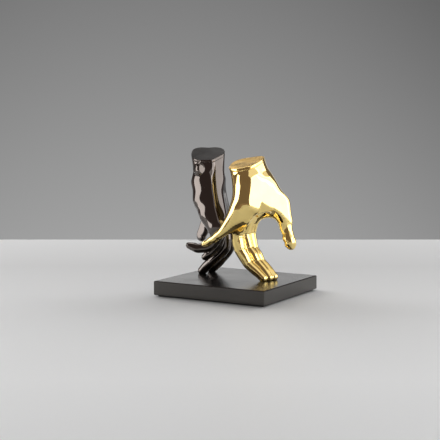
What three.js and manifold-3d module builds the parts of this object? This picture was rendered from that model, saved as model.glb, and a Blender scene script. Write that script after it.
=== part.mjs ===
// Two cast metal hands, a right one and a left one, that stand back to back on their fingertips on a
// flat plate. Millimetres, +Z up, with the origin at the middle of the underside.
import * as THREE from 'three';
import { mergeVertices } from 'three/addons/utils/BufferGeometryUtils.js';
import Module from 'manifold-3d';

const wasm = await Module();
wasm.setup();

// Plate and the anti-slip sheet under it
const plateWidth = 160;
const plateDepth = 150;
const plateThickness = 18.5;
const plateChamfer = 1;
const sheetThickness = 1.5;
const sheetInset = 4;
const sheetHoleMargin = 1;

// Screws that come up through the plate into the fingertips
const screwDiameter = 3;
const screwHeadDiameter = 5.6;
const screwHeadHeight = 2.4;
const hexWidth = 2.4;
const hexDepth = 1.2;
const threadDepth = 5;
const washerDiameter = 7;
const washerThickness = 0.6;
const counterboreDiameter = 8;
const counterboreDepth = 5;
const fitGap = 0.3;
const roundSides = 16;

// Caps that close the wrists
const capThickness = 3;
const spigotDiameter = 14;
const spigotLength = 6;

// Cast skin: the grid's cell, how far bones blend into each other, and how deep the feet are cut flat
const skinCell = 4;
const palmBlend = 12;
const rootBlend = 9;
const knobBlend = 5;
const creviceBlend = 3;
const phalanxBones = 4;
const farAway = 1000;
const footSink = 1.2;
const relaxSteps = 8;
const relaxShare = 0.5;
const leastSlope = 0.5;
const slopeReach = 0.04;
const pinchFill = 0.2;

// A point of a hand is [x, y, z, radius] in hand units, measured from the middle of the plate's top. A
// digit runs from its knuckle to its tip, and one that stands reaches down to the plate. The knob is the
// end of the ulna at the wrist.
const handUnit = 1;

const goldHand = {
  name: 'gold',
  colour: 0xd9a441,
  palm: [
    [[5, -14, 158, 11.5], [15, -11, 130, 10]],
    [[20, -7, 158, 11.5], [27, -8, 130, 10]],
    [[4, -2, 158, 11.5], [15, -1, 130, 10]],
    [[20, 3, 158, 11.5], [28, 3, 130, 10]],
    [[5, 10, 158, 11.5], [15, 9, 130, 10]],
    [[19, 12, 158, 11.5], [28, 11, 130, 10.5]],
    [[20, -13, 128, 13], [17, -25, 94, 9]],
    [[20, -7, 126, 12], [14, -13, 86, 9]],
    [[20, 2, 126, 12], [14, 2, 86, 9]],
    [[21, 9, 126, 12], [15, 16, 89, 9]],
    [[27, -17, 126, 12], [25, -24, 102, 10.5]],
    [[32, 12, 126, 13], [49, 26, 99, 10]],
    [[22, 15, 84, 7], [46, 22, 88, 7]],
    [[31, -8, 122, 8], [36.5, -12.5, 97, 8]],
    [[36, 0, 122, 8], [41.5, -0.5, 97, 8]],
    [[41, 11, 118, 8], [49, 12.5, 98, 8]],
    [[29, -19, 95, 9], [20, -22, 81, 8]],
    [[20, -22, 81, 8], [6, -29, 67, 5]],
  ],
  knob: [[20.8, -25.3, 136.5, 5.6], [21, -25.5, 133, 5.6]],
  digits: {
    thumb: { joints: [[50, 27, 97, 9.5], [57, 28, 68, 7.4], [64, 25, 50.5, 7.6], [66, 24, 44.8, 6.8]] },
    index: {
      joints: [[15, 16, 86, 8.5], [14, 13.5, 51, 6.8], [28, 12, 25, 5.8], [49, 11, 4, 5.2]],
      stands: true,
    },
    middle: {
      joints: [[14, 2, 83, 9], [11.8, 3, 52, 7.2], [27, 3, 25.5, 5.6], [46.5, 3, 4, 4.8]],
      stands: true,
    },
    ring: {
      joints: [[13, -13, 82, 9], [6.3, -8.8, 52.5, 7.7], [21.3, -7, 24.4, 5.6], [43, -5.5, 4, 4.6]],
      stands: true,
    },
    little: { joints: [[17, -27, 92, 9], [-2, -34, 64, 5.4], [-18, -34, 52, 4.5], [-31, -31, 46, 3.6]] },
  },
  screwed: ['index', 'ring'],
  cutPoint: [15, -2, 151],
  cutNormal: [-0.11, -0.28, 1],
};

const darkHand = {
  name: 'dark',
  colour: 0x34323a,
  palm: [
    [[-67, 19, 172, 11], [-61, 19, 130, 9.5]],
    [[-49, 27, 172, 11], [-47, 24, 130, 10]],
    [[-61, 8, 172, 11], [-57, 10, 130, 9.5]],
    [[-44, 19, 172, 11], [-43, 15, 130, 10]],
    [[-55, -1, 172, 11], [-52, 1, 130, 9.5]],
    [[-41, 9, 172, 11], [-39, 6, 130, 10]],
    [[-44, 0, 126, 13], [-17, -15, 72, 10]],
    [[-46, 6, 124, 13], [-24, 1, 72, 10]],
    [[-48, 16, 124, 13], [-31, 18, 73, 10]],
    [[-51, 23, 124, 13], [-38, 35, 74, 10]],
    [[-54, 2, 122, 12], [-47, -6, 101, 11]],
    [[-47, -6, 101, 11], [-34.5, -13, 82, 9.5]],
    [[-63, 20, 120, 11], [-61, 22, 97, 9.5]],
  ],
  knob: [[-50, -7, 144, 6], [-49.5, -7, 140.5, 6]],
  digits: {
    thumb: { joints: [[-56.5, 26.5, 82, 8], [-65, 27.5, 62, 7.4], [-70, 28, 51, 7], [-71, 28, 47, 6]] },
    index: {
      joints: [[-37, 35, 67, 8], [-31, 36.5, 37, 7], [-46.5, 34.5, 15, 6.2], [-57.5, 32.5, 4, 5]],
      stands: true,
    },
    middle: {
      joints: [[-29, 17, 66, 8.5], [-27.5, 16.5, 37, 7], [-47, 13.5, 16, 6.2], [-60.5, 12, 4, 5]],
      stands: true,
    },
    ring: { joints: [[-21, 0, 65, 8], [-28, -1.5, 42, 6.2], [-38, -4, 30.5, 5.4], [-45.5, -5, 25, 4.6]] },
    little: { joints: [[-14, -16, 65, 8], [-27, -20, 43, 6.2], [-45, -23, 39, 6], [-58, -25, 42, 4.2]] },
  },
  screwed: ['index', 'middle'],
  cutPoint: [-52, 12, 161],
  cutNormal: [0.14, -0.32, 1],
};

const plateTop = sheetThickness + plateThickness;
const counterboreTop = sheetThickness + counterboreDepth;
const bothHands = [darkHand, goldHand].map(sized);

function sized(hand) {
  const grown = (values) => values.map((value) => value * handUnit);
  const palm = hand.palm.map((bone) => bone.map(grown));
  const knob = hand.knob.map(grown);
  const digits = {};
  for (const [name, digit] of Object.entries(hand.digits)) {
    digits[name] = { ...digit, joints: digit.joints.map(grown) };
  }
  return { ...hand, palm, knob, digits, cutPoint: grown(hand.cutPoint) };
}

// Solids and meshes
function toSolid(geometry) {
  const bare = geometry.clone();
  bare.deleteAttribute('normal');
  bare.deleteAttribute('uv');
  const merged = mergeVertices(bare, 1e-4);
  const vertProperties = new Float32Array(merged.attributes.position.array);
  const triVerts = new Uint32Array(merged.index.array);
  return new wasm.Manifold(new wasm.Mesh({ numProp: 3, vertProperties, triVerts }));
}

function toGeometry(vertices, triangles) {
  const geometry = new THREE.BufferGeometry();
  geometry.setAttribute('position', new THREE.BufferAttribute(new Float32Array(vertices), 3));
  geometry.setIndex(new THREE.BufferAttribute(new Uint32Array(triangles), 1));
  return geometry;
}

function piece(name, solid, finish) {
  const mesh = solid.getMesh();
  const geometry = toGeometry(mesh.vertProperties, mesh.triVerts);
  geometry.computeVertexNormals();
  const named = new THREE.Mesh(geometry, new THREE.MeshStandardMaterial(finish));
  named.name = name;
  return named;
}

// An upright round bar between two heights.
function bar(diameter, bottom, top, [x, y] = [0, 0], sides = roundSides) {
  const geometry = new THREE.CylinderGeometry(diameter / 2, diameter / 2, top - bottom, sides);
  geometry.rotateX(Math.PI / 2);
  geometry.translate(x, y, (bottom + top) / 2);
  return geometry;
}

// A rectangular slab between two heights, with its edges chamfered.
function slab(width, depth, bottom, top, chamfer) {
  const outline = new THREE.Shape();
  const x = width / 2 - chamfer;
  const y = depth / 2 - chamfer;
  outline.setFromPoints([[-x, -y], [x, -y], [x, y], [-x, y]].map((corner) => new THREE.Vector2(...corner)));
  const bevel = { bevelEnabled: chamfer > 0, bevelSize: chamfer, bevelThickness: chamfer, bevelSegments: 1 };
  const geometry = new THREE.ExtrudeGeometry(outline, { depth: top - bottom - 2 * chamfer, ...bevel });
  geometry.translate(0, 0, bottom + chamfer);
  return geometry;
}

// The cast skin is the zero surface of a field: bones are tapered capsules that blend into each other.
function boneDistance(point, from, to) {
  const [alongX, alongY, alongZ] = [to[0] - from[0], to[1] - from[1], to[2] - from[2]];
  const [x, y, z] = [point[0] - from[0], point[1] - from[1], point[2] - from[2]];
  const lengthSquared = alongX * alongX + alongY * alongY + alongZ * alongZ;
  const share = (x * alongX + y * alongY + z * alongZ) / lengthSquared;
  const t = Math.min(Math.max(share, 0), 1);
  const gap = Math.sqrt((x - t * alongX) ** 2 + (y - t * alongY) ** 2 + (z - t * alongZ) ** 2);
  return gap - from[3] - t * (to[3] - from[3]);
}

function blend(a, b, reach) {
  const overlap = Math.max(reach - Math.abs(a - b), 0) / reach;
  return Math.min(a, b) - overlap * overlap * reach / 4;
}

// A digit is swept along a smooth curve through its joints, as short bones in a row.
function digitBones(joints) {
  const curveOf = (points) => new THREE.CatmullRomCurve3(points, false, 'catmullrom');
  const count = (joints.length - 1) * phalanxBones;
  const places = curveOf(joints.map(([x, y, z]) => new THREE.Vector3(x, y, z))).getPoints(count);
  const girths = curveOf(joints.map((joint) => new THREE.Vector3(joint[3], 0, 0))).getPoints(count);
  const points = places.map((place, i) => [...place.toArray(), girths[i].x]);
  return points.slice(1).map((point, i) => [points[i], point]);
}

function handField(hand) {
  const digits = Object.values(hand.digits).map((digit) => digitBones(digit.joints));
  const chain = (point, bones, join) => bones.reduce(
    (sum, [from, to]) => join(sum, boneDistance(point, from, to)),
    farAway,
  );
  return (point) => {
    const palm = chain(point, hand.palm, (a, b) => blend(a, b, palmBlend));
    const wrist = blend(palm, boneDistance(point, ...hand.knob), knobBlend);
    let fingers = farAway;
    for (const bones of digits) {
      fingers = blend(fingers, chain(point, bones, Math.min), creviceBlend);
    }
    return blend(wrist, fingers, rootBlend);
  };
}

function handBox(hand) {
  const box = new THREE.Box3();
  const bones = [...hand.palm, ...Object.values(hand.digits).map((digit) => digit.joints)];
  for (const [x, y, z, radius] of bones.flat()) {
    const reach = radius + palmBlend / 2;
    box.expandByPoint(new THREE.Vector3(x - reach, y - reach, z - reach));
    box.expandByPoint(new THREE.Vector3(x + reach, y + reach, z + reach));
  }
  return box;
}

// Samples of a field at the nodes of a cubic grid.
function sampleGrid(field, box) {
  const size = box.getSize(new THREE.Vector3());
  const count = [size.x, size.y, size.z].map((length) => Math.ceil(length / skinCell) + 1);
  const step = [1, count[0], count[0] * count[1]];
  const values = new Float32Array(step[2] * count[2]);
  const place = (node) => [
    box.min.x + skinCell * (node % count[0]),
    box.min.y + skinCell * (Math.floor(node / step[1]) % count[1]),
    box.min.z + skinCell * Math.floor(node / step[2]),
  ];
  for (let node = 0; node < values.length; node += 1) {
    values[node] = field(place(node));
  }
  // The cells, each by its first node, and a cell's eight corners in binary order
  const cells = [];
  for (let node = 0; node < values.length - step[2] - step[1] - 1; node += 1) {
    const lastColumn = node % count[0] === count[0] - 1;
    const lastRow = Math.floor(node / step[1]) % count[1] === count[1] - 1;
    if (!lastColumn && !lastRow) {
      cells.push(node);
    }
  }
  const corners = [0, 1, 2, 3, 4, 5, 6, 7]
    .map((bits) => (bits & 1) * step[0] + ((bits >> 1) & 1) * step[1] + (bits >> 2) * step[2]);
  return { values, step, place, cells, corners };
}

// Fills nodes where two stretches of skin would meet in an edge or a corner only.
function fillPinches({ values, step, cells, corners }) {
  const inside = (node) => values[node] < 0;
  const pinchedSide = (node, a, b) => {
    const square = [node, node + a, node + b, node + a + b];
    const [p, q, r, s] = square.map(inside);
    return p === s && q === r && p !== q ? square.find((corner) => !inside(corner)) : -1;
  };
  const pinchedCell = (node) => {
    const signs = corners.map((corner) => inside(node + corner));
    for (let first = 0; first < 4; first += 1) {
      const last = 7 - first;
      const isEnd = (corner) => corner === first || corner === last;
      const alone = signs.every((sign, corner) => (sign === signs[first]) === isEnd(corner));
      if (alone) {
        return node + corners[signs[first] ? first ^ 1 : first];
      }
    }
    return -1;
  };
  let found = true;
  while (found) {
    found = false;
    for (const node of cells) {
      const [x, y, z] = step;
      const sides = [pinchedSide(node, x, y), pinchedSide(node, y, z), pinchedSide(node, z, x)];
      for (const pinch of [...sides, pinchedCell(node)].filter((corner) => corner >= 0)) {
        values[pinch] = -pinchFill;
        found = true;
      }
    }
  }
}

// One vertex for each cell that the skin passes through, at the middle of its crossings.
function cellVertices({ values, place, cells, corners }) {
  const edges = [
    [0, 1], [2, 3], [4, 5], [6, 7],
    [0, 2], [1, 3], [4, 6], [5, 7],
    [0, 4], [1, 5], [2, 6], [3, 7],
  ];
  const vertices = [];
  const vertexOf = new Map();
  for (const node of cells) {
    const middle = new THREE.Vector3();
    let crossings = 0;
    for (const [from, to] of edges) {
      const [a, b] = [node + corners[from], node + corners[to]];
      if (values[a] < 0 !== values[b] < 0) {
        const start = new THREE.Vector3(...place(a));
        const end = new THREE.Vector3(...place(b));
        middle.add(start.lerp(end, values[a] / (values[a] - values[b])));
        crossings += 1;
      }
    }
    if (crossings > 0) {
      vertexOf.set(node, vertices.length);
      vertices.push(middle.divideScalar(crossings));
    }
  }
  return { vertices, vertexOf };
}

// One quad for each grid edge that the skin crosses, facing outwards.
function crossingQuads({ values, step }, vertexOf) {
  const quads = [];
  for (let axis = 0; axis < 3; axis += 1) {
    const [a, b, c] = [step[axis], step[(axis + 1) % 3], step[(axis + 2) % 3]];
    for (let node = 0; node < values.length - a; node += 1) {
      const isInside = values[node] < 0;
      const around = [node - b - c, node - c, node, node - b];
      if (isInside !== values[node + a] < 0 && around.every((cell) => vertexOf.has(cell))) {
        const quad = around.map((cell) => vertexOf.get(cell));
        quads.push(isInside ? quad : quad.reverse());
      }
    }
  }
  return quads;
}

// Evens the vertices out along the skin and brings them back onto it.
function relax(vertices, quads, field) {
  const axes = [[slopeReach, 0, 0], [0, slopeReach, 0], [0, 0, slopeReach]];
  const starts = vertices.map((vertex) => vertex.clone());
  const neighbours = vertices.map(() => new Set());
  for (const quad of quads) {
    quad.forEach((vertex, i) => {
      neighbours[vertex].add(quad[(i + 1) % 4]);
      neighbours[quad[(i + 1) % 4]].add(vertex);
    });
  }
  const at = (point, shift, sign) => field(point.toArray().map((value, axis) => value + sign * shift[axis]));
  for (let round = 0; round < relaxSteps; round += 1) {
    const means = neighbours.map((near) => {
      const sum = [...near].reduce((total, other) => total.add(vertices[other]), new THREE.Vector3());
      return sum.divideScalar(near.size);
    });
    vertices.forEach((vertex, i) => {
      vertex.lerp(means[i], relaxShare);
      const slope = new THREE.Vector3(...axes.map((shift) => at(vertex, shift, 1) - at(vertex, shift, -1)));
      slope.divideScalar(2 * slopeReach);
      const miss = field(vertex.toArray());
      vertex.addScaledVector(slope, -miss / Math.max(slope.lengthSq(), leastSlope));
      const moved = vertex.clone().sub(starts[i]).clampLength(0, skinCell);
      vertex.copy(starts[i]).add(moved);
    });
  }
}

function skinSolid(hand) {
  const field = handField(hand);
  const grid = sampleGrid(field, handBox(hand));
  fillPinches(grid);
  const { vertices, vertexOf } = cellVertices(grid);
  const quads = crossingQuads(grid, vertexOf);
  relax(vertices, quads, field);
  const triangles = quads.flatMap(([a, b, c, d]) => {
    const miss = (from, to) => Math.abs(field(vertices[from].clone().lerp(vertices[to], 0.5).toArray()));
    return miss(a, c) < miss(b, d) ? [a, b, c, a, c, d] : [a, b, d, b, c, d];
  });
  return toSolid(toGeometry(vertices.flatMap((vertex) => vertex.toArray()), triangles));
}

// The standing tips sink a little into the plate's top, where they are cut flat.
function plantFeet(hand) {
  for (const digit of Object.values(hand.digits).filter((each) => each.stands)) {
    const tip = digit.joints.at(-1);
    tip[2] = tip[3] - footSink;
  }
}

function screwPlaces(hand) {
  return hand.screwed.map((digit) => hand.digits[digit].joints.at(-1).slice(0, 2));
}

// The hand, cut flat at its feet and under its cap, and the cap that closes its wrist.
function handPieces(hand) {
  plantFeet(hand);
  const skin = skinSolid(hand);
  const reach = 4 * plateWidth;
  const upright = new THREE.Vector3(0, 0, 1);
  const normal = new THREE.Vector3(...hand.cutNormal).normalize();
  const tilt = new THREE.Quaternion().setFromUnitVectors(upright, normal);
  const cut = new THREE.Matrix4().makeRotationFromQuaternion(tilt).setPosition(...hand.cutPoint);
  const seat = -capThickness - fitGap;
  const above = toSolid(slab(reach, reach, seat, reach, 0).applyMatrix4(cut));
  const capLayer = toSolid(slab(reach, reach, -capThickness, 0, 0).applyMatrix4(cut));
  const spigotEnd = -capThickness - spigotLength;
  const spigot = toSolid(bar(spigotDiameter, spigotEnd, -capThickness / 2).applyMatrix4(cut));
  const socketDiameter = spigotDiameter + 2 * fitGap;
  const socket = toSolid(bar(socketDiameter, seat - spigotLength, capThickness).applyMatrix4(cut));
  let cast = skin.subtract(above).subtract(toSolid(slab(reach, reach, -reach, 0, 0))).subtract(socket);
  for (const place of screwPlaces(hand)) {
    cast = cast.subtract(toSolid(bar(screwDiameter + 2 * fitGap, -footSink, threadDepth + fitGap, place)));
  }
  const cap = skin.intersect(capLayer).add(spigot);
  const polish = { color: hand.colour, roughness: 0.12, metalness: 1 };
  const satin = { color: hand.colour, roughness: 0.35, metalness: 1 };
  const raised = new THREE.Group();
  raised.position.z = plateTop;
  raised.add(piece(`${hand.name}_hand`, cast, polish));
  raised.add(piece(`${hand.name}_wrist_cap`, cap, satin));
  return raised;
}

function basePlate() {
  let plate = toSolid(slab(plateWidth, plateDepth, sheetThickness, plateTop, plateChamfer));
  for (const place of bothHands.flatMap(screwPlaces)) {
    plate = plate.subtract(toSolid(bar(screwDiameter + 2 * fitGap, 0, plateTop + fitGap, place)));
    plate = plate.subtract(toSolid(bar(counterboreDiameter, 0, counterboreTop, place)));
  }
  return piece('base_plate', plate, { color: 0x4b4947, roughness: 0.45, metalness: 0.4 });
}

function antislipSheet() {
  let sheet = toSolid(slab(plateWidth - 2 * sheetInset, plateDepth - 2 * sheetInset, 0, sheetThickness, 0));
  for (const place of bothHands.flatMap(screwPlaces)) {
    const hole = counterboreDiameter + 2 * sheetHoleMargin;
    sheet = sheet.subtract(toSolid(bar(hole, -sheetThickness, 2 * sheetThickness, place)));
  }
  return piece('antislip_sheet', sheet, { color: 0x1c1c1d, roughness: 0.9, metalness: 0 });
}

// A cap screw with a hexagon socket, and the washer under its head.
function fastener(hand, digit) {
  const place = hand.digits[digit].joints.at(-1).slice(0, 2);
  const headTop = counterboreTop - washerThickness;
  const headBottom = headTop - screwHeadHeight;
  const head = toSolid(bar(screwHeadDiameter, headBottom, headTop, place));
  const shank = toSolid(bar(screwDiameter, headTop - screwHeadHeight / 2, plateTop + threadDepth, place));
  const hexagon = toSolid(bar(hexWidth, headBottom - hexDepth, headBottom + hexDepth, place, 6));
  const disc = toSolid(bar(washerDiameter, headTop, counterboreTop, place));
  const bore = toSolid(bar(screwDiameter + 2 * fitGap, headTop - washerThickness, plateTop, place));
  const steel = { color: 0x8c8f94, roughness: 0.35, metalness: 1 };
  return [
    piece(`${hand.name}_${digit}_screw`, head.add(shank).subtract(hexagon), steel),
    piece(`${hand.name}_${digit}_washer`, disc.subtract(bore), steel),
  ];
}

const figurine = new THREE.Group();
figurine.add(basePlate(), antislipSheet());
for (const hand of bothHands) {
  figurine.add(handPieces(hand));
  figurine.add(...hand.screwed.flatMap((digit) => fastener(hand, digit)));
}

export default figurine;
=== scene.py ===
import math
import bmesh
import bpy
import numpy as np
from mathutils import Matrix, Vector


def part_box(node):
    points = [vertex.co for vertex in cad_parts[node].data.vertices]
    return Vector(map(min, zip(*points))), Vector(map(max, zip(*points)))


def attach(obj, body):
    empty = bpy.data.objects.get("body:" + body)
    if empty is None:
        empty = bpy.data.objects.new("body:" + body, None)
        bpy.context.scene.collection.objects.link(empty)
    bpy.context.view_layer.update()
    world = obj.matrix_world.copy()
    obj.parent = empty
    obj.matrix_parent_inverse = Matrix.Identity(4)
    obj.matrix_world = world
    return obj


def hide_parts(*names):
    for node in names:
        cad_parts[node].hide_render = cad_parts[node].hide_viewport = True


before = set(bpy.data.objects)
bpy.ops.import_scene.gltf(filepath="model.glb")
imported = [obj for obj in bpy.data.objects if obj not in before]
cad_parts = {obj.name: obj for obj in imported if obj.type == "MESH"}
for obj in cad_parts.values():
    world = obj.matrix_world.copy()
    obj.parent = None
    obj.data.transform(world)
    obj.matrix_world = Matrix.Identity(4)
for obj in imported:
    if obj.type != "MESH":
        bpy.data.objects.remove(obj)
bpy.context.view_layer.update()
mm = 0.001
tiny = 1e-6
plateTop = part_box("base_plate")[1].z
lift = np.array([0, 0, plateTop / mm])  # from the frame's origin to the plate's top
noiseBand = (0.3, 0.7)  # a noise node seldom leaves this band
print("frame loaded:", len(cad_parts), "nodes")


# shader sockets that take part in expressions
class Shade:
    def __init__(self, finish, socket):
        self.finish = finish
        self.socket = socket

    def math(self, operation, first, second):
        return self.finish.node("ShaderNodeMath", {"operation": operation}, {0: first, 1: second})

    def __add__(self, other):
        return self.math("ADD", self, other)

    def __radd__(self, other):
        return self.math("ADD", other, self)

    def __sub__(self, other):
        return self.math("SUBTRACT", self, other)

    def __rsub__(self, other):
        return self.math("SUBTRACT", other, self)

    def __mul__(self, other):
        return self.math("MULTIPLY", self, other)

    def __rmul__(self, other):
        return self.math("MULTIPLY", other, self)

    def __pow__(self, other):
        return self.math("POWER", self, other)

    def __rpow__(self, other):
        return self.math("POWER", other, self)


class Finish:
    def __init__(self, name, tree=None):
        if tree is None:
            self.material = bpy.data.materials.new(name)
            self.material.use_nodes = True
            tree = self.material.node_tree
        self.tree = tree
        self.tree.nodes.clear()

    def node(self, kind, settings, inputs, output=0):
        made = self.tree.nodes.new(kind)
        for key, value in settings.items():
            setattr(made, key, value)
        for key, value in inputs.items():
            if isinstance(value, Shade):
                self.tree.links.new(value.socket, made.inputs[key])
            else:
                made.inputs[key].default_value = value
        return Shade(self, made.outputs[output]) if made.outputs else None

    def place(self):
        return self.node("ShaderNodeTexCoord", {}, {}, "Object")

    def noise(self, scale, detail, stretch=(1, 1, 1)):
        drawn = self.node("ShaderNodeMapping", {}, {"Vector": self.place(), "Scale": stretch})
        return self.node("ShaderNodeTexNoise", {}, {"Vector": drawn, "Scale": scale, "Detail": detail})

    def ramp(self, value, start, end, low=0.0, high=1.0, easing="LINEAR"):
        inputs = {"Value": value, "From Min": start, "From Max": end, "To Min": low, "To Max": high}
        return self.node("ShaderNodeMapRange", {"interpolation_type": easing}, inputs)

    def span(self, noise, low=0.0, high=1.0):
        return self.ramp(noise, *noiseBand, low, high)

    def along(self, place, way):
        return self.node("ShaderNodeVectorMath", {"operation": "DOT_PRODUCT"}, {0: place, 1: way}, "Value")

    def tint(self, share, first, second):
        inputs = {"Factor": share, 6: first, 7: second}
        return self.node("ShaderNodeMix", {"data_type": "RGBA"}, inputs, 2)

    def bump(self, height, strength, distance):
        inputs = {"Height": height, "Strength": strength, "Distance": distance}
        return self.node("ShaderNodeBump", {}, inputs)

    def close(self, inputs):
        surface = self.node("ShaderNodeBsdfPrincipled", {}, inputs)
        self.node("ShaderNodeOutputMaterial", {}, {"Surface": surface})
        return self.material


# mirror polish over a casting: the buffing leaves faint waves and slightly duller patches
polishMarks = {
    "patches": (55.0, 4.0),  # noise scale and detail
    "waves": (90.0, 1.0),
    "haze": (140.0, 5.0),
    "bump": (0.06, 0.0006),  # strength and distance
}
polishes = {
    "goldPolish": {
        "bright": (0.99, 0.78, 0.31, 1), "deep": (0.97, 0.74, 0.28, 1),
        "gloss": 0.05, "dull": 0.09,
    },
    "darkPolish": {
        "bright": (0.142, 0.124, 0.114, 1), "deep": (0.128, 0.112, 0.102, 1),
        "gloss": 0.05, "dull": 0.1,
    },
}


def polishFinish(name, bright, deep, gloss, dull):
    finish = Finish(name)
    patches, waves, haze = (finish.noise(*polishMarks[kind]) for kind in ("patches", "waves", "haze"))
    return finish.close({
        "Base Color": finish.tint(finish.span(patches), bright, deep),
        "Metallic": 1.0,
        "Roughness": finish.span(haze, gloss, dull),
        "Normal": finish.bump(waves, *polishMarks["bump"]),
    })


# the cut faces: fine grinding marks in one direction, more and less rubbed in places
satinMarks = {
    "patches": (45.0, 3.0),
    "grinding": (60.0, 3.0, (30.0, 1.0, 4.0)),  # noise scale, detail and stretch
    "rubbing": (40.0, 1.0),
    "rubbed": 0.09,
    "bump": (0.12, 0.0002),
}
satins = {
    "goldSatin": {
        "bright": (0.95, 0.66, 0.25, 1), "deep": (0.78, 0.49, 0.12, 1),
        "gloss": 0.3, "dull": 0.42, "metal": 1.0,
    },
    "darkSatin": {
        "bright": (0.034, 0.0312, 0.029, 1), "deep": (0.016, 0.0147, 0.0136, 1),
        "gloss": 0.64, "dull": 0.74, "metal": 0.6,
    },
}


def satinFinish(name, bright, deep, gloss, dull, metal):
    finish = Finish(name)
    patches, grinding, rubbing = (finish.noise(*satinMarks[kind])
                                  for kind in ("patches", "grinding", "rubbing"))
    rubbed = finish.span(rubbing, -satinMarks["rubbed"], satinMarks["rubbed"])
    return finish.close({
        "Base Color": finish.tint(finish.span(patches), bright, deep),
        "Metallic": metal,
        "Roughness": finish.span(grinding, gloss, dull) + rubbed,
        "Normal": finish.bump(grinding, *satinMarks["bump"]),
    })


finishes = {name: polishFinish(name, **look) for name, look in polishes.items()}
finishes.update({name: satinFinish(name, **look) for name, look in satins.items()})
print("metal finishes:", len(finishes))


# hands: points are x, y, z, radius in millimetres from the middle of the plate's top
goldHand = {
    "name": "gold",
    "palm": [  # bones of the wrist and the palm
        [[5.5, -15.5, 158, 11.5], [15, -12.5, 130, 10]],
        [[21, -10.5, 158, 11.5], [27, -9.5, 130, 10]],
        [[1.5, -2, 158, 11.5], [14.5, -1, 130, 10]],
        [[20, 3, 158, 11.5], [28, 3, 130, 10]],
        [[1, 9.5, 158, 11.5], [14.5, 9, 130, 10]],
        [[19, 12, 158, 11.5], [28, 11, 130, 10.5]],
        [[20, -13, 128, 13], [17, -25, 94, 9]],
        [[20, -7, 126, 12], [14, -13, 86, 9]],
        [[20, 2, 126, 12], [14, 2, 86, 9]],
        [[21, 9, 126, 12], [15, 16, 89, 9]],
        [[27, -17, 126, 12], [25, -24, 102, 10.5]],
        [[32, 12, 126, 13], [49, 26, 99, 10]],
        [[22, 15, 84, 7], [46, 22, 88, 7]],
        [[31, -8, 122, 8], [36.5, -12.5, 97, 8]],
        [[36, 0, 122, 8], [41.5, -0.5, 97, 8]],
        [[41, 11, 118, 8], [49, 12.5, 98, 8]],
        [[29, -19, 95, 9], [20, -22, 81, 8]],
        [[20, -22, 81, 8], [6, -29, 67, 5]],
        [[51, 19, 99, 8], [58, 27, 76, 6.5]],
    ],
    "flats": [  # nearly flat sides of the palm
        {"turn": 68, "height": 118, "offset": 45.2, "lean": -0.09, "bow": 0, "reach": 3.0},
    ],
    "folds": [  # two sides that meet in a fold
        ({"turn": 53, "height": 103, "offset": 44, "lean": 0.33, "bow": 0, "reach": 2.0},
         {"turn": 120.3, "height": 98, "offset": 29.1, "lean": 0.27, "bow": 0, "reach": 1.2}),
    ],
    "knob": {"bone": [[20.8, -24.8, 134, 4.8], [21, -25.2, 130, 4.8]], "flats": [], "blend": 7.0},
    "digits": {  # joints from the root to the tip
        "thumb": [[50, 27, 97, 9.5], [57, 28, 68, 7.4], [64, 25, 50.5, 7.6], [65.6, 26, 44.8, 6.7]],
        "index": [[15, 16, 86, 8.5], [14, 13.5, 51, 6.8], [28, 12, 25, 5.8], [49, 11, 4, 5.2]],
        "middle": [[14, 2, 83, 9], [11.8, 3, 52, 7.2], [27, 3, 25.5, 5.6], [46.5, 3, 3.6, 4.8]],
        "ring": [[13, -13, 82, 9], [8.2, -12.6, 52, 8], [20.4, -10.2, 24, 6.4], [42.4, -6, 3.4, 4.9]],
        "little": [[17, -27, 92, 9], [-2, -34, 64, 5.4], [-18, -34, 52, 4.5], [-31, -31, 46, 3.6]],
    },
    "palmar": {  # the way that each digit's pads face
        "thumb": (-0.9, -0.3, -0.2),
        "index": (0.75, 0, 0.66),
        "middle": (0.75, 0, 0.66),
        "ring": (0.75, 0, 0.66),
        "little": (0.5, 0.2, -0.85),
    },
    "broad": {},  # nearly flat sides of the digits
    "creases": (0.77, 1.45, 2.1),  # where a digit bends, counted in joints
    "cutPoint": [15, -2, 151],
    "cutNormal": [-0.11, -0.28, 1],
    "polish": "goldPolish",
    "satin": "goldSatin",
}

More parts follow.
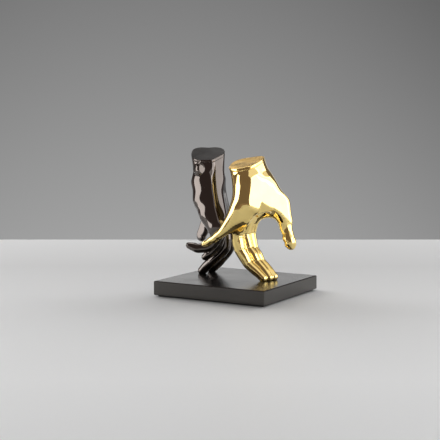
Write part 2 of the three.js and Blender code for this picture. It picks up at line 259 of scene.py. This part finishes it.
darkHand = {
    "name": "dark",
    "palm": [
        [[-67, 19, 172, 11], [-61, 19, 130, 9.5]],
        [[-49, 27, 172, 11], [-47, 24, 130, 10]],
        [[-61, 8, 172, 11], [-57, 10, 130, 9.5]],
        [[-44, 19, 172, 11], [-43, 15, 130, 10]],
        [[-55, -1, 172, 11], [-52, 1, 130, 9.5]],
        [[-41, 9, 172, 11], [-39, 6, 130, 10]],
        [[-44, 0, 126, 13], [-17, -15, 72, 10]],
        [[-46, 6, 124, 13], [-24, 1, 72, 10]],
        [[-48, 16, 124, 13], [-31, 18, 73, 10]],
        [[-51, 23, 124, 13], [-38, 35, 74, 10]],
        [[-54, 2, 122, 12], [-47, -6, 101, 11]],
        [[-47, -6, 101, 11], [-34.5, -13, 82, 9.5]],
        [[-34.5, -13, 82, 9.5], [-23.5, -18, 66, 8]],
        [[-63, 20, 120, 11], [-61, 22, 97, 9.5]],
    ],
    "flats": [
        {"turn": 80, "height": 121, "offset": -26, "lean": -0.303, "bow": 0.0021, "reach": 4.0},
    ],
    "folds": [],
    "knob": {
        "bone": [[-50.9, -13, 141.8, 7.8], [-50.9, -13, 140.8, 7.8]],
        "flats": [
            {"turn": 55, "height": 141, "offset": -29.15, "lean": -0.14, "bow": 0, "reach": 0.6},
        ],
        "blend": 2.5,
    },
    "digits": {
        "thumb": [[-56.5, 26.5, 82, 8], [-65, 27.5, 62, 7.4], [-70, 28, 51, 7], [-71, 28, 47, 6]],
        "index": [[-37, 35, 67, 8], [-31, 36.5, 37, 7], [-46.5, 34.5, 15, 6.6], [-57.5, 32.5, 3.8, 5.7]],
        "middle": [
            [-29, 17, 66, 8.5], [-27.5, 16.5, 37, 7.2], [-47, 13.5, 16, 6.8], [-60.5, 12.5, 3.8, 5.8],
        ],
        "ring": [[-21, 0, 65, 8], [-28, -1.5, 42, 6.2], [-38, -4, 30.5, 5.4], [-45.5, -5, 25, 4.6]],
        "little": [[-14, -16, 65, 8], [-27, -20, 43, 6.2], [-45, -23, 39, 6], [-58, -25, 42, 4.2]],
    },
    "palmar": {
        "thumb": (0.8, -0.5, 0),
        "index": (-0.7, 0, 0.7),
        "middle": (-0.7, 0, 0.7),
        "ring": (-0.6, 0, 0.8),
        "little": (0, 0.3, 1),
    },
    "broad": {
        "thumb": [{"turn": -13, "height": 60, "offset": -6.7, "lean": -0.045, "bow": 0, "reach": 1.0}],
    },
    "creases": (0.5, 1, 2),
    "cutPoint": [-52, 12, 161],
    "cutNormal": [0.14, -0.32, 1],
    "polish": "darkPolish",
    "satin": "darkSatin",
}

# the skin of both hands: its lengths are in millimetres, apart from the voxel
skin = {
    "voxel": 0.75 * mm,
    "palmBlend": 18.0,
    "rootBlend": 13.5,
    "creviceBlend": 2.5,
    "samples": 10,
    "nearby": 30.0,
    "pad": 0.8,
    "crease": 0.5,
    "creaseWidth": 0.9,
    "knuckle": 0.45,
    "knuckleWidth": 4.0,
    "rim": 0.5,
    "seat": 3.05,
    "rounds": 3,
    "steps": 4,
    "relax": 0.5,
    "longestStep": 1.5,
    "leastSlope": 0.3,
}

# nails, in radii of the fingertip, apart from their rise and groove in millimetres
nail = {
    "middle": -0.35,
    "length": 0.85,
    "width": 0.72,
    "squareness": 4,
    "inside": 0.9,
    "outside": 1.06,
    "grooveAt": 1.15,
    "grooveWidth": 0.14,
    "sideLow": 0.1,
    "sideHigh": 0.45,
    "rise": 0.25,
    "groove": 0.35,
}


# the distance to a tapered bone, its slope and the share of the bone's length
def boneField(points, start, end):
    start, end = np.array(start, float), np.array(end, float)
    bone = end[:3] - start[:3]
    offset = points - start[:3]
    share = np.clip(offset @ bone / (bone @ bone), 0, 1)
    away = offset - share[:, None] * bone
    gap = np.linalg.norm(away, axis=1)
    value = gap - start[3] - share * (end[3] - start[3])
    return value, away / np.maximum(gap, tiny)[:, None], share


# a smooth union of two fields, each a distance and its slope
def joined(first, second, reach):
    (a, slopeA), (b, slopeB) = first, second
    overlap = np.maximum(reach - np.abs(a - b), 0) / reach
    shareB = np.where(a < b, overlap ** 2 / 2, 1 - overlap ** 2 / 2)[:, None]
    return np.minimum(a, b) - overlap ** 3 * reach / 6, slopeA * (1 - shareB) + slopeB * shareB


def cutBy(field, height, slope, reach):
    below = (-height, -np.broadcast_to(slope, field[1].shape))
    value, way = joined((-field[0], -field[1]), below, reach)
    return -value, -way


# an upright plane that leans and bows with height
def flatField(points, flat):
    turn, rise = math.radians(flat["turn"]), points[:, 2] - flat["height"]
    way = np.array([math.sin(turn), -math.cos(turn), 0])
    value = points @ way - flat["offset"] - flat["lean"] * rise - flat["bow"] * rise ** 2
    return value, way - np.outer(flat["lean"] + 2 * flat["bow"] * rise, (0, 0, 1))


# nearly flat sides
def shavedBy(field, points, flats):
    for flat in flats:
        field = cutBy(field, *flatField(points, flat), flat["reach"])
    return field


def chainField(points, bones, reach):
    field = None
    for start, end in bones:
        bone = boneField(points, start, end)[:2]
        field = bone if field is None else joined(field, bone, reach)
    return field


# a digit is swept along a smooth curve through its joints
def digitCurve(joints):
    joints = np.array(joints, float)
    ends = np.vstack([2 * joints[0] - joints[1], joints, 2 * joints[-1] - joints[-2]])
    share = np.linspace(0, 1, skin["samples"], endpoint=False)[:, None]
    parts = []
    for a, b, c, d in zip(ends, ends[1:], ends[2:], ends[3:]):
        bend = (2 * a - 5 * b + 4 * c - d) * share ** 2 + (3 * b - a - 3 * c + d) * share ** 3
        parts.append(b + ((c - a) * share + bend) / 2)
    return np.vstack(parts + [joints[-1:]])


def eased(value, low, high):
    share = np.clip((value - low) / (high - low), 0, 1)
    return share * share * (3 - 2 * share)


def ridge(offset, width):
    return np.exp(-(offset / width) ** 2)


# a nail on the back of the fingertip, with a groove round it
def nailRelief(points, curve, palmar):
    tip, radius = curve[-1, :3], curve[-1, 3]
    axis = Vector(tip - curve[-1 - skin["samples"], :3]).normalized()
    up = -Vector(palmar)
    up = (up - up.dot(axis) * axis).normalized()
    lengthwise, sideways, above = ((points - tip) @ np.array(way) / radius
                                   for way in (axis, axis.cross(up), up))
    power = nail["squareness"]
    lengthShare = (lengthwise - nail["middle"]) / nail["length"]
    edge = (lengthShare ** power + (sideways / nail["width"]) ** power) ** (1 / power)
    rise = nail["rise"] * eased(edge, nail["outside"], nail["inside"])
    groove = nail["groove"] * ridge(edge - nail["grooveAt"], nail["grooveWidth"])
    return (rise - groove) * eased(above, nail["sideLow"], nail["sideHigh"])


# what stands out of a plain digit: soft pads, knuckles and the nail, with creases where it bends
def digitRelief(points, curve, spot, out, palmar, creases):
    run = np.append(0, np.cumsum(np.linalg.norm(np.diff(curve[:, :3], axis=0), axis=1)))
    along = np.interp(spot, np.arange(len(curve)), run)
    inner, outer = np.clip(out @ palmar, 0, 1), np.clip(-out @ palmar, 0, 1)
    bends = np.interp(np.array(creases) * skin["samples"], np.arange(len(curve)), run)
    share = np.interp(along, [0, *bends, run[-1]], np.arange(len(bends) + 2))
    height = skin["pad"] * np.sin(math.pi * share) ** 2 * inner
    for bend in bends:
        height -= skin["crease"] * ridge(along - bend, skin["creaseWidth"]) * np.sqrt(inner)
    for bend in bends[1:]:
        height += skin["knuckle"] * ridge(along - bend, skin["knuckleWidth"]) * outer
    return height + nailRelief(points, curve, palmar)


# only the points near a digit are measured against it
def sweptField(points, curve, palmar, creases):
    middle = (curve.max(0) + curve.min(0))[:3] / 2
    near = np.all(np.abs(points - middle) < np.ptp(curve, axis=0)[:3] / 2 + skin["nearby"], axis=1)
    value, slope = np.full(len(points), skin["nearby"]), np.zeros_like(points)
    spots, least, way = points[near], value[near], slope[near]
    spot = np.zeros(len(spots))
    for index, (start, end) in enumerate(zip(curve, curve[1:])):
        gap, out, share = boneField(spots, start, end)
        closer = gap < least
        least = np.where(closer, gap, least)
        way = np.where(closer[:, None], out, way)
        spot = np.where(closer, index + share, spot)
    value[near] = least - digitRelief(spots, curve, spot, way, palmar, creases)
    slope[near] = way
    return value, slope


def handField(hand, points):
    fingers = None
    for name, joints in hand["digits"].items():
        palmar = Vector(hand["palmar"][name]).normalized()
        finger = sweptField(points, digitCurve(joints), np.array(palmar), hand["creases"])
        finger = shavedBy(finger, points, hand["broad"].get(name, []))
        fingers = finger if fingers is None else joined(fingers, finger, skin["creviceBlend"])
    palm = chainField(points, hand["palm"], skin["palmBlend"])
    palm = shavedBy(palm, points, hand["flats"])
    knob = shavedBy(boneField(points, *hand["knob"]["bone"])[:2], points, hand["knob"]["flats"])
    palm = joined(palm, knob, hand["knob"]["blend"])
    for first, second in hand["folds"]:
        step = joined(flatField(points, first), flatField(points, second), first["reach"])
        palm = cutBy(palm, *step, second["reach"])
    return joined(palm, fingers, skin["rootBlend"])


def cutFrame(hand):
    normal = Vector(hand["cutNormal"]).normalized()
    return np.array(hand["cutPoint"], float), np.array(normal)


# the casting's field: the skin, cut flat under the cap and at the plate
def castField(hand, points):
    point, normal = cutFrame(hand)
    field = handField(hand, points)
    field = cutBy(field, (points - point) @ normal + skin["seat"], normal, skin["rim"])
    return cutBy(field, -points[:, 2], (0, 0, -1), skin["rim"])


def newPiece(name, mesh, node):
    piece = bpy.data.objects.new(name, mesh)
    bpy.context.scene.collection.objects.link(piece)
    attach(piece, "root")
    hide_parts(node)


# an even fine mesh over a solid
def evenMesh(node, name):
    work = bmesh.new()
    work.from_mesh(node.data)
    bmesh.ops.remove_doubles(work, verts=work.verts, dist=tiny)
    mesh = bpy.data.meshes.new(name)
    work.to_mesh(mesh)
    work.free()
    rough = bpy.data.objects.new("roughCasting", mesh)
    bpy.context.scene.collection.objects.link(rough)
    even = rough.modifiers.new("even", "REMESH")
    even.mode = "VOXEL"
    even.voxel_size = skin["voxel"]
    evaluated = rough.evaluated_get(bpy.context.evaluated_depsgraph_get())
    fine = bpy.data.meshes.new_from_object(evaluated)
    bpy.data.objects.remove(rough)
    fine.name = name
    return fine


# the fine mesh is smoothed and drawn onto the field a few times
def castHand(hand):
    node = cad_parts[hand["name"] + "_hand"]
    fine = evenMesh(node, hand["name"] + "Casting")
    work = bmesh.new()
    work.from_mesh(fine)
    longest = skin["longestStep"]
    for turn in range(skin["rounds"]):
        bmesh.ops.smooth_vert(work, verts=work.verts, factor=skin["relax"],
                              use_axis_x=True, use_axis_y=True, use_axis_z=True)
        points = np.array([vert.co for vert in work.verts]) / mm - lift
        for step in range(skin["steps"]):
            value, slope = castField(hand, points)
            steep = np.maximum((slope ** 2).sum(1), skin["leastSlope"])
            points -= np.clip(value / steep, -longest, longest)[:, None] * slope
        for vert, point in zip(work.verts, (points + lift) * mm):
            vert.co = point
    bmesh.ops.recalc_face_normals(work, faces=work.faces)
    for face in work.faces:
        face.smooth = True
    work.to_mesh(fine)
    work.free()
    fine.materials.clear()
    fine.materials.append(finishes[hand["polish"]])
    newPiece(hand["name"] + "_casting", fine, node.name)
    print(hand["name"], "casting:", len(fine.polygons), "faces")


for hand in (darkHand, goldHand):
    castHand(hand)


# wrist caps: a disc that follows the skin, polished round its side and satin on the cut
cap = {
    "thickness": 3.0,
    "bevel": 0.45,
    "bevelSegments": 3,
    "segments": 160,
    "reach": 45.0,
    "steps": 40,
    "rimAngle": 0.8,
    "flatness": 0.95,
}


# the skin's outline at a depth under the cut, found by halving along rays from the middle
def skinOutline(hand, axes, depth):
    point, normal = cutFrame(hand)
    middle = point - depth * normal
    turns = np.linspace(0, 2 * math.pi, cap["segments"], endpoint=False)
    rays = np.cos(turns)[:, None] * axes[0] + np.sin(turns)[:, None] * axes[1]
    low, high = np.zeros(len(turns)), np.full(len(turns), cap["reach"])
    for step in range(cap["steps"]):
        between = (low + high) / 2
        inside = handField(hand, middle + rays * between[:, None])[0] < 0
        low = np.where(inside, between, low)
        high = np.where(inside, high, between)
    return (middle + rays * low[:, None] + lift) * mm


def wristCap(hand):
    normal = cutFrame(hand)[1]
    first = np.cross(normal, (0, 1, 0))
    first /= np.linalg.norm(first)
    axes = (first, np.cross(normal, first))
    work = bmesh.new()
    bmesh.ops.create_circle(work, cap_ends=True, segments=cap["segments"], radius=1)
    top = list(work.faces)[0]
    ring = [loop.vert for loop in top.loops]
    for vert, place in zip(ring, skinOutline(hand, axes, 0.0)):
        vert.co = place
    made = bmesh.ops.extrude_face_region(work, geom=[top])
    lower = [item for item in made["geom"] if isinstance(item, bmesh.types.BMVert)]
    outline = skinOutline(hand, axes, cap["thickness"])
    for vert in lower:
        others = (edge.other_vert(vert) for edge in vert.link_edges)
        vert.co = outline[next(ring.index(other) for other in others if other in ring)]
    rims = [edge for edge in work.edges
            if edge.calc_face_angle(0) > cap["rimAngle"] and len(edge.link_faces) == 2]
    bmesh.ops.recalc_face_normals(work, faces=work.faces)
    bmesh.ops.bevel(work, geom=rims, offset=cap["bevel"] * mm, offset_type="OFFSET", affect="EDGES",
                    segments=cap["bevelSegments"], profile=0.5, material=-1)
    for face in work.faces:
        flat = face.normal.dot(Vector(normal)) > cap["flatness"]
        face.material_index = 1 if flat else 0
        face.smooth = not flat
    mesh = bpy.data.meshes.new(hand["name"] + "Cap")
    work.to_mesh(mesh)
    work.free()
    mesh.materials.append(finishes[hand["polish"]])
    mesh.materials.append(finishes[hand["satin"]])
    newPiece(hand["name"] + "_cap", mesh, hand["name"] + "_wrist_cap")
    print(hand["name"], "cap:", len(mesh.polygons), "faces")


for hand in (darkHand, goldHand):
    wristCap(hand)


# plate, sheet and fasteners keep their solids
plate = {
    "bright": (0.105, 0.1, 0.094, 1), "deep": (0.09, 0.086, 0.081, 1),
    "gloss": 0.2, "dull": 0.25, "grit": 0.02,
    "patches": (18.0, 4.0), "grain": (900.0, 3.0), "bump": (0.05, 0.0001),
}
sheet = {
    "deep": (0.02, 0.02, 0.02, 1), "bright": (0.035, 0.034, 0.033, 1),
    "gloss": 0.75, "dull": 0.95,
    "grain": (700.0, 4.0), "bump": (0.4, 0.0003),
}
fastener = {
    "bright": (0.5, 0.5, 0.51, 1), "deep": (0.38, 0.38, 0.4, 1),
    "gloss": 0.25, "dull": 0.4,
    "turning": (400.0, 3.0, (1.0, 1.0, 8.0)),
}


def plateFinish():
    finish = Finish("plateSatin")
    grain = finish.noise(*plate["grain"])
    patches = finish.noise(*plate["patches"])
    grit = finish.span(grain, -plate["grit"], plate["grit"])
    return finish.close({
        "Base Color": finish.tint(finish.span(patches), plate["bright"], plate["deep"]),
        "Metallic": 1.0,
        "Roughness": finish.span(patches, plate["gloss"], plate["dull"]) + grit,
        "Normal": finish.bump(grain, *plate["bump"]),
    })


def rubberFinish():
    finish = Finish("antislipRubber")
    grain = finish.noise(*sheet["grain"])
    return finish.close({
        "Base Color": finish.tint(finish.span(grain), sheet["deep"], sheet["bright"]),
        "Roughness": finish.span(grain, sheet["gloss"], sheet["dull"]),
        "Normal": finish.bump(grain, *sheet["bump"]),
    })


def steelFinish():
    finish = Finish("screwSteel")
    turning = finish.noise(*fastener["turning"])
    return finish.close({
        "Base Color": finish.tint(finish.span(turning), fastener["bright"], fastener["deep"]),
        "Metallic": 1.0,
        "Roughness": finish.span(turning, fastener["gloss"], fastener["dull"]),
    })


def dress(node, material):
    node.data.materials.clear()
    node.data.materials.append(material)


steel = steelFinish()
for name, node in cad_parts.items():
    if name.endswith(("_screw", "_washer")):
        dress(node, steel)
dress(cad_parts["base_plate"], plateFinish())
dress(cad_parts["antislip_sheet"], rubberFinish())
print("plate, sheet and fasteners dressed")


# camera at the photograph's angle
camera = {
    "eye": (0.6340, -1.1296, 0.2203),
    "aim": (-0.0254, 0.0, 0.0949),
    "lens": 81.82,
    "sensor": 36.0,
    "clip": 50.0,
}


def addCamera():
    data = bpy.data.cameras.new("camera")
    data.lens = camera["lens"]
    data.sensor_width = camera["sensor"]
    data.clip_end = camera["clip"]
    made = bpy.data.objects.new("camera", data)
    made.location = camera["eye"]
    made.rotation_mode = "QUATERNION"
    view = Vector(camera["aim"]) - Vector(camera["eye"])
    made.rotation_quaternion = view.to_track_quat("-Z", "Y")
    bpy.context.scene.collection.objects.link(made)
    bpy.context.scene.camera = made


addCamera()

# pale table, turned square to the camera, with its far edge behind the figurine
table = {
    "turn": 30.27,
    "left": -1.1, "right": 1.1, "near": -0.95, "far": 0.614,
    "thickness": 0.03, "bevel": 0.004, "bevelSegments": 3,
    # painted light: the far tone is painted shade on the far table and the near tone is painted light
    # towards the camera
    "farShadeTone": (0.52, 0.52, 0.52, 1), "nearLightTone": (0.9, 0.9, 0.9, 1),
    "farShadeAt": 0.25, "nearLightAt": -0.45,  # where the tones are reached
    "grain": (400.0, 5.0), "mottle": 0.02, "roughness": 0.55,
}
tableTurn = math.radians(table["turn"])
across = Vector((math.cos(tableTurn), math.sin(tableTurn), 0))
back = Vector((-math.sin(tableTurn), math.cos(tableTurn), 0))


def tableFinish():
    finish = Finish("paleTable")
    # painted light: the table's colour runs from painted shade at its far side to painted light near the
    # camera, with a little random mottle
    paintedLight = finish.ramp(finish.along(finish.place(), back), table["farShadeAt"], table["nearLightAt"])
    mottle = finish.span(finish.noise(*table["grain"]), -table["mottle"], table["mottle"])
    return finish.close({
        "Base Color": finish.tint(paintedLight + mottle, table["farShadeTone"], table["nearLightTone"]),
        "Roughness": table["roughness"],
    })


def addTable():
    work = bmesh.new()
    corners = [("left", "near"), ("right", "near"), ("right", "far"), ("left", "far")]
    verts = [work.verts.new(across * table[x] + back * table[y]) for x, y in corners]
    top = work.faces.new(verts)
    made = bmesh.ops.extrude_face_region(work, geom=[top])
    lower = [item for item in made["geom"] if isinstance(item, bmesh.types.BMVert)]
    bmesh.ops.translate(work, verts=lower, vec=(0, 0, -table["thickness"]))
    bmesh.ops.recalc_face_normals(work, faces=work.faces)
    bmesh.ops.bevel(work, geom=work.edges[:], offset=table["bevel"], offset_type="OFFSET", affect="EDGES",
                    segments=table["bevelSegments"], profile=0.5, material=-1)
    mesh = bpy.data.meshes.new("table")
    work.to_mesh(mesh)
    work.free()
    mesh.materials.append(tableFinish())
    made = bpy.data.objects.new("table", mesh)
    bpy.context.scene.collection.objects.link(made)


addTable()

# cards that only the polished surfaces show, and two lamps behind for the rest;
# turn and rise are in degrees round the figurine, a turn of 0 being its front
lamps = {
    "rightCard": dict(turn=91, rise=0, lift=0.7, distance=2.4, width=2.5, height=2.4, glow=2.7),
    "sideCard": dict(turn=131, rise=0, lift=0.6, distance=2.4, width=1.7, height=2.2, glow=2.2),
    "leftCard": dict(turn=-57, rise=0, lift=0.6, distance=2.4, width=1.75, height=2.0, glow=3.4),
    "topCard": dict(turn=104, rise=55, lift=0.1, distance=2.4, width=3.6, height=2.1, glow=0.72),
    "lowCard": dict(turn=210, rise=0, lift=0.45, distance=3.0, width=3.0, height=0.7, glow=0.55),
    "backCard": dict(turn=208, rise=62, lift=0.1, distance=2.4, width=2.4, height=1.4, glow=2.8),
    "leftLamp": dict(turn=252, rise=27, lift=0.1, distance=2.4, width=2.2, height=1.4, glow=5.0),
    "rightLamp": dict(turn=168, rise=27, lift=0.1, distance=2.4, width=2.2, height=1.4, glow=4.1),
}


def addLamps():
    for name, lamp in lamps.items():
        data = bpy.data.lights.new(name, "AREA")
        data.shape = "RECTANGLE"
        data.size = lamp["width"]
        data.size_y = lamp["height"]
        data.energy = lamp["glow"] * math.pi * lamp["width"] * lamp["height"]
        turn, rise = math.radians(lamp["turn"]), math.radians(lamp["rise"])
        level = math.cos(rise)
        way = Vector((math.sin(turn) * level, -math.cos(turn) * level, math.sin(rise)))
        made = bpy.data.objects.new(name, data)
        made.location = way * lamp["distance"] + Vector((0, 0, lamp["lift"]))
        made.rotation_mode = "QUATERNION"
        made.rotation_quaternion = (-way).to_track_quat("-Z", "Y")
        made.visible_camera = False
        made.visible_diffuse = name.endswith("Lamp")
        made.visible_glossy = name.endswith("Card")
        bpy.context.scene.collection.objects.link(made)


addLamps()


# the room: a grey backdrop that falls off from its lit spot, warm and darker at the front; what isn't
# polished gets an even light, stronger from low down
room = {
    "low": 0.37, "high": 0.212,  # the backdrop's glow at its foot and its top
    "foot": -0.13, "top": 0.12,
    "spot": -0.068, "mostLoss": 0.1,
    "aside": 0.5, "behind": 0.9,  # between these the front turns into the backdrop
    "front": 0.75, "warm": (1.0, 0.76, 0.68, 1), "plain": (1, 1, 1, 1),
    "even": 0.15, "skirt": 1.2, "skirtTop": 0.35,
}


def addRoom():
    world = bpy.data.worlds.new("room")
    bpy.context.scene.world = world
    world.use_nodes = True
    finish = Finish("room", world.node_tree)
    way = finish.node("ShaderNodeTexCoord", {}, {}, "Generated")
    away, side = finish.along(way, back), finish.along(way, across)
    height = finish.node("ShaderNodeSeparateXYZ", {}, {0: way}, "Z")
    wall = finish.ramp(height, room["foot"], room["top"], room["low"], room["high"])
    behind = finish.ramp(away, room["aside"], room["behind"], easing="SMOOTHSTEP")
    skirt = finish.ramp(height, room["skirtTop"], 0.0, easing="SMOOTHSTEP")
    fall = {0: (side - room["spot"]) ** 2, 1: room["mostLoss"]}
    loss = finish.node("ShaderNodeMath", {"operation": "MINIMUM"}, fall)
    shown = (wall - loss * behind) * (room["front"] + (1 - room["front"]) * behind)
    hue = finish.tint(behind, room["warm"], room["plain"])
    seen = sum(finish.node("ShaderNodeLightPath", {}, {}, kind)
               for kind in ("Is Camera Ray", "Is Glossy Ray", "Is Transmission Ray"))
    even = {"Color": room["plain"], "Strength": room["even"] + room["skirt"] * skirt}
    matte = finish.node("ShaderNodeBackground", {}, even)
    glow = finish.node("ShaderNodeBackground", {}, {"Color": hue, "Strength": shown})
    light = finish.node("ShaderNodeMixShader", {}, {0: seen, 1: matte, 2: glow})
    finish.node("ShaderNodeOutputWorld", {}, {"Surface": light})


addRoom()
bpy.context.scene.view_settings.view_transform = "Standard"
print("camera, table, lamps and room set")
